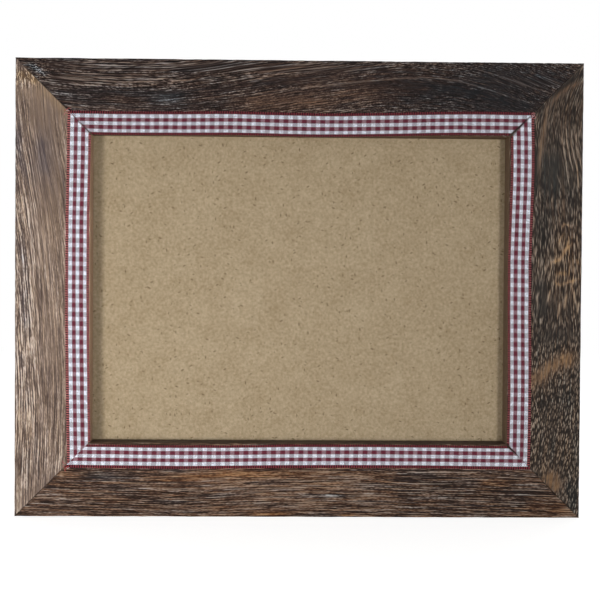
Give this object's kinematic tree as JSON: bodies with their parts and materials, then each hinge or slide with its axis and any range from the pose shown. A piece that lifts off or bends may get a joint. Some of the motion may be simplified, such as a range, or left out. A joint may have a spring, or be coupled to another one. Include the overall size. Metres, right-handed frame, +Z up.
{
  "type": "wooden picture frame",
  "caption": "Landscape wooden picture frame with mitred rails, gingham ribbon at the sight edge, glass, hardboard back on turn buttons, easel strut and wall hanger.",
  "frame": {"origin": "middle of the bottom rail's underside, at half the rails' thickness", "axes": "+X to the right along the rails as seen from the front, +Y to the back, +Z up; the picture faces -Y"},
  "size_m": [0.2622, 0.0214, 0.2114],
  "materials": {
    "brushed_wood_top": "burnt and wire-brushed, near black with pale grain lines",
    "brushed_wood_bottom": "burnt and wire-brushed, mid brown",
    "brushed_wood_left": "wire-brushed, pale greyish tan",
    "brushed_wood_right": "burnt and wire-brushed, dark brown with golden flecks",
    "gingham_ribbon": "woven red and white check with maroon selvages",
    "glass": "clear float glass",
    "hardboard": "smooth tan hardboard with dark fibre flecks",
    "strut_board": "hardboard, sawn edges",
    "zinc_plate": "bright zinc plate",
    "bright_steel": "bright drawn steel",
    "brassed_steel": "brass plate"
  },
  "bodies": {
    "frame": {"top_rail": "brushed_wood_top", "ribbon_top": "gingham_ribbon", "bottom_rail": "brushed_wood_bottom", "ribbon_bottom": "gingham_ribbon", "left_rail": "brushed_wood_left", "ribbon_left": "gingham_ribbon", "right_rail": "brushed_wood_right", "ribbon_right": "gingham_ribbon", "glass_pane": "glass", "backing_board": "hardboard", "v_nail_bottom_left_outer": "bright_steel", "v_nail_bottom_left_inner": "bright_steel", "v_nail_bottom_right_outer": "bright_steel", "v_nail_bottom_right_inner": "bright_steel", "v_nail_top_right_outer": "bright_steel", "v_nail_top_right_inner": "bright_steel", "v_nail_top_left_outer": "bright_steel", "v_nail_top_left_inner": "bright_steel", "button_screw_top_left": "bright_steel", "button_screw_top_right": "bright_steel", "button_screw_left": "bright_steel", "button_screw_right": "bright_steel", "button_screw_bottom_left": "bright_steel", "button_screw_bottom_right": "bright_steel", "hinge_board_leaf": "brassed_steel", "hinge_board_screw_left": "brassed_steel", "hinge_board_screw_right": "brassed_steel", "hinge_pin": "bright_steel", "sawtooth_hanger": "zinc_plate", "hanger_nail_left": "bright_steel", "hanger_nail_right": "bright_steel"},
    "button_top_left": {"turn_button_top_left": "zinc_plate"},
    "button_top_right": {"turn_button_top_right": "zinc_plate"},
    "button_left": {"turn_button_left": "zinc_plate"},
    "button_right": {"turn_button_right": "zinc_plate"},
    "button_bottom_left": {"turn_button_bottom_left": "zinc_plate"},
    "button_bottom_right": {"turn_button_bottom_right": "zinc_plate"},
    "strut": {"strut_leg": "strut_board", "hinge_leg_leaf": "brassed_steel", "hinge_leg_screw_left": "brassed_steel", "hinge_leg_screw_right": "brassed_steel"}
  },
  "joints": [
    {"name": "turn_top_left", "type": "hinge", "parent": "frame", "child": "button_top_left", "pos_m": [-0.062, 0.0089, 0.1904], "axis": [0, 1, 0], "continuous": true},
    {"name": "turn_top_right", "type": "hinge", "parent": "frame", "child": "button_top_right", "pos_m": [0.062, 0.0089, 0.1904], "axis": [0, 1, 0], "continuous": true},
    {"name": "turn_left", "type": "hinge", "parent": "frame", "child": "button_left", "pos_m": [-0.1101, 0.0089, 0.1057], "axis": [0, 1, 0], "continuous": true},
    {"name": "turn_right", "type": "hinge", "parent": "frame", "child": "button_right", "pos_m": [0.1101, 0.0089, 0.1057], "axis": [0, 1, 0], "continuous": true},
    {"name": "turn_bottom_left", "type": "hinge", "parent": "frame", "child": "button_bottom_left", "pos_m": [-0.062, 0.0089, 0.021], "axis": [0, 1, 0], "continuous": true},
    {"name": "turn_bottom_right", "type": "hinge", "parent": "frame", "child": "button_bottom_right", "pos_m": [0.062, 0.0089, 0.021], "axis": [0, 1, 0], "continuous": true},
    {"name": "strut_swing", "type": "hinge", "parent": "frame", "child": "strut", "pos_m": [0, 0.01005, 0.1599], "axis": [1, 0, 0], "range_deg": [0, 35]}
  ]
}
